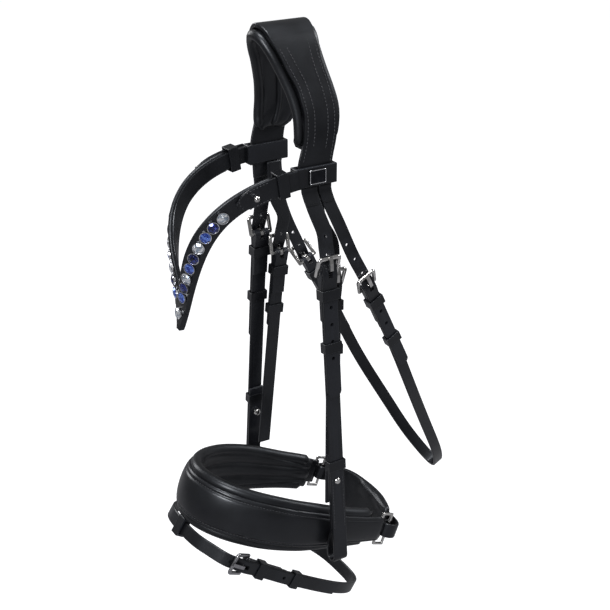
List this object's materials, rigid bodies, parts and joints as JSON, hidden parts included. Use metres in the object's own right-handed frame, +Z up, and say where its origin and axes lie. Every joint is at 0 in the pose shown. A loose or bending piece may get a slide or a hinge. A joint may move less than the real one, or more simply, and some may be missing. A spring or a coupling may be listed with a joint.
{
  "type": "snaffle bridle",
  "caption": "Black leather snaffle bridle with padded crown, V-shaped crystal browband, buckled cheekpieces, padded cavesson with flash strap, and throatlash.",
  "frame": {"origin": "middle of the poll, on the underside of the crown pad", "axes": "+Z up, -Y towards the horse's forehead and nose, +X towards the horse's left (near) side"},
  "size_m": [0.19, 0.3455, 0.6429],
  "materials": {
    "black_leather": "satin black bridle leather with rounded, burnished edges",
    "soft_lining": "soft padded black leather with rolled edges",
    "polished_nickel": "polished nickel",
    "dark_nickel": "pewter-coloured polished metal",
    "silver_settings": "bright silver cups",
    "clear_crystal": "clear faceted crystal",
    "blue_crystal": "blue faceted crystal",
    "navy_crystal": "navy faceted crystal",
    "dark_plate": "blank dark plate with a thin silver border"
  },
  "bodies": {
    "headpiece": {"crown_strap": "black_leather", "crown_pad": "soft_lining"},
    "browband": {"browband_band": "black_leather", "browband_studs": "polished_nickel", "browband_settings": "silver_settings", "crystals_clear": "clear_crystal", "crystals_blue": "blue_crystal", "crystals_navy": "navy_crystal", "name_plate": "dark_plate"},
    "noseband": {"noseband_billets": "black_leather", "noseband_band": "black_leather", "noseband_lining": "soft_lining", "noseband_dees": "polished_nickel", "flash_loop": "black_leather", "left_noseband_hanger": "black_leather", "left_hanger_buckle": "polished_nickel", "left_hanger_fixed_keeper": "black_leather", "right_noseband_hanger": "black_leather", "right_hanger_buckle": "polished_nickel", "right_hanger_fixed_keeper": "black_leather"},
    "throatlash": {"throat_billets": "black_leather", "throatlash_strap": "black_leather", "left_throat_buckle": "polished_nickel", "left_throat_fixed_keeper": "black_leather", "right_throat_buckle": "polished_nickel", "right_throat_fixed_keeper": "black_leather"},
    "flash": {"flash_strap": "black_leather", "flash_buckle": "dark_nickel", "flash_fixed_keeper": "black_leather"},
    "chin": {"chin_pad": "soft_lining", "crank_strap": "black_leather"},
    "left_cheek": {"left_cheek_billet": "black_leather", "left_cheekpiece": "black_leather", "left_cheek_buckle": "polished_nickel", "left_cheek_fixed_keeper": "black_leather", "left_bit_stud": "polished_nickel"},
    "right_cheek": {"right_cheek_billet": "black_leather", "right_cheekpiece": "black_leather", "right_cheek_buckle": "polished_nickel", "right_cheek_fixed_keeper": "black_leather", "right_bit_stud": "polished_nickel"},
    "left_cheek_tongue": {"left_cheek_tongue": "polished_nickel"},
    "left_cheek_runner": {"left_cheek_runner": "black_leather"},
    "left_hanger_tongue": {"left_hanger_tongue": "polished_nickel"},
    "left_hanger_runner": {"left_hanger_runner": "black_leather"},
    "left_throat_tongue": {"left_throat_tongue": "polished_nickel"},
    "left_throat_runner": {"left_throat_runner": "black_leather"},
    "right_cheek_tongue": {"right_cheek_tongue": "polished_nickel"},
    "right_cheek_runner": {"right_cheek_runner": "black_leather"},
    "right_hanger_tongue": {"right_hanger_tongue": "polished_nickel"},
    "right_hanger_runner": {"right_hanger_runner": "black_leather"},
    "right_throat_tongue": {"right_throat_tongue": "polished_nickel"},
    "right_throat_runner": {"right_throat_runner": "black_leather"},
    "flash_tongue": {"flash_tongue": "dark_nickel"},
    "flash_runner": {"flash_runner": "black_leather"},
    "left_bit_keeper": {"left_bit_keeper": "black_leather"},
    "left_browband_keeper": {"left_browband_keeper": "black_leather"},
    "right_bit_keeper": {"right_bit_keeper": "black_leather"},
    "right_browband_keeper": {"right_browband_keeper": "black_leather"}
  },
  "joints": [
    {"name": "browband_slide", "type": "slide", "parent": "headpiece", "child": "browband", "axis": [0, 0, 1], "range_m": [0, 0.004]},
    {"name": "noseband_swing", "type": "hinge", "parent": "headpiece", "child": "noseband", "pos_m": [0, 0.013, -0.137], "axis": [1, 0, 0], "range_deg": [-3, 8], "stiffness_Nm_per_rad": 0.8},
    {"name": "throatlash_swing", "type": "hinge", "parent": "headpiece", "child": "throatlash", "pos_m": [0, 0.0175, -0.137], "axis": [1, 0, 0], "range_deg": [-4, 6], "stiffness_Nm_per_rad": 0.5},
    {"name": "flash_swing", "type": "hinge", "parent": "noseband", "child": "flash", "pos_m": [0, -0.124, -0.492], "axis": [1, 0, 0], "range_deg": [-7, 8], "stiffness_Nm_per_rad": 0.3},
    {"name": "chin_take_up", "type": "slide", "parent": "noseband", "child": "chin", "axis": [0, 0.9272, -0.3746], "range_m": [0, 0.002], "stiffness_N_per_m": 60},
    {"name": "left_cheek_swing", "type": "hinge", "parent": "headpiece", "child": "left_cheek", "pos_m": [0.045, 0.0015, -0.1365], "axis": [0, -1, 0], "range_deg": [0, 30], "stiffness_Nm_per_rad": 0.3},
    {"name": "right_cheek_swing", "type": "hinge", "parent": "headpiece", "child": "right_cheek", "pos_m": [-0.045, 0.0015, -0.1365], "axis": [0, 1, 0], "range_deg": [0, 30], "stiffness_Nm_per_rad": 0.3},
    {"name": "left_cheek_tongue_pivot", "type": "hinge", "parent": "left_cheek", "child": "left_cheek_tongue", "pos_m": [0.062, 0.0105, -0.216], "axis": [0, 1, 0], "range_deg": [0, 18], "stiffness_Nm_per_rad": 0.002},
    {"name": "left_cheek_runner_slide", "type": "slide", "parent": "left_cheek", "child": "left_cheek_runner", "axis": [-0.0976, 0, 0.9952], "range_m": [-0.012, 0.008]},
    {"name": "left_hanger_tongue_pivot", "type": "hinge", "parent": "noseband", "child": "left_hanger_tongue", "pos_m": [0.049, 0.026, -0.236], "axis": [0, 0.9987, -0.0512], "range_deg": [0, 18], "stiffness_Nm_per_rad": 0.002},
    {"name": "left_hanger_runner_slide", "type": "slide", "parent": "noseband", "child": "left_hanger_runner", "axis": [-0.0808, 0.051, 0.9954], "range_m": [-0.012, 0.008]},
    {"name": "left_throat_tongue_pivot", "type": "hinge", "parent": "throatlash", "child": "left_throat_tongue", "pos_m": [0.062, 0.058, -0.24], "axis": [-0.0228, 0.8895, 0.4564], "range_deg": [0, 18], "stiffness_Nm_per_rad": 0.002},
    {"name": "left_throat_runner_slide", "type": "slide", "parent": "throatlash", "child": "left_throat_runner", "axis": [0.0606, -0.4545, 0.8887], "range_m": [-0.0015, 0.008]},
    {"name": "right_cheek_tongue_pivot", "type": "hinge", "parent": "right_cheek", "child": "right_cheek_tongue", "pos_m": [-0.062, 0.0105, -0.216], "axis": [0, -1, 0], "range_deg": [0, 18], "stiffness_Nm_per_rad": 0.002},
    {"name": "right_cheek_runner_slide", "type": "slide", "parent": "right_cheek", "child": "right_cheek_runner", "axis": [0.0976, 0, 0.9952], "range_m": [-0.012, 0.008]},
    {"name": "right_hanger_tongue_pivot", "type": "hinge", "parent": "noseband", "child": "right_hanger_tongue", "pos_m": [-0.049, 0.026, -0.236], "axis": [0, -0.9987, 0.0512], "range_deg": [0, 18], "stiffness_Nm_per_rad": 0.002},
    {"name": "right_hanger_runner_slide", "type": "slide", "parent": "noseband", "child": "right_hanger_runner", "axis": [0.0808, 0.051, 0.9954], "range_m": [-0.012, 0.008]},
    {"name": "right_throat_tongue_pivot", "type": "hinge", "parent": "throatlash", "child": "right_throat_tongue", "pos_m": [-0.06, 0.066, -0.256], "axis": [-0.0228, -0.8895, -0.4564], "range_deg": [0, 18], "stiffness_Nm_per_rad": 0.002},
    {"name": "right_throat_runner_slide", "type": "slide", "parent": "throatlash", "child": "right_throat_runner", "axis": [-0.0606, -0.4545, 0.8887], "range_m": [-0.0015, 0.008]},
    {"name": "flash_tongue_pivot", "type": "hinge", "parent": "flash", "child": "flash_tongue", "pos_m": [0.05904, -0.08478, -0.51845], "axis": [0, 0.5592, 0.829], "range_deg": [0, 18], "stiffness_Nm_per_rad": 0.002},
    {"name": "flash_runner_slide", "type": "slide", "parent": "flash", "child": "flash_runner", "axis": [-0.0007, -0.829, 0.5592], "range_m": [-0.003, 0.003]},
    {"name": "left_bit_keeper_slide", "type": "slide", "parent": "left_cheek", "child": "left_bit_keeper", "axis": [-0.0976, 0, 0.9952], "range_m": [-0.005, 0.02]},
    {"name": "right_bit_keeper_slide", "type": "slide", "parent": "right_cheek", "child": "right_bit_keeper", "axis": [0.0976, 0, 0.9952], "range_m": [-0.005, 0.02]},
    {"name": "left_browband_keeper_slide", "type": "slide", "parent": "browband", "child": "left_browband_keeper", "axis": [0.0662, 0.9839, 0.166], "range_m": [-0.003, 0.001]},
    {"name": "right_browband_keeper_slide", "type": "slide", "parent": "browband", "child": "right_browband_keeper", "axis": [-0.0662, 0.9839, 0.166], "range_m": [-0.003, 0.001]}
  ]
}
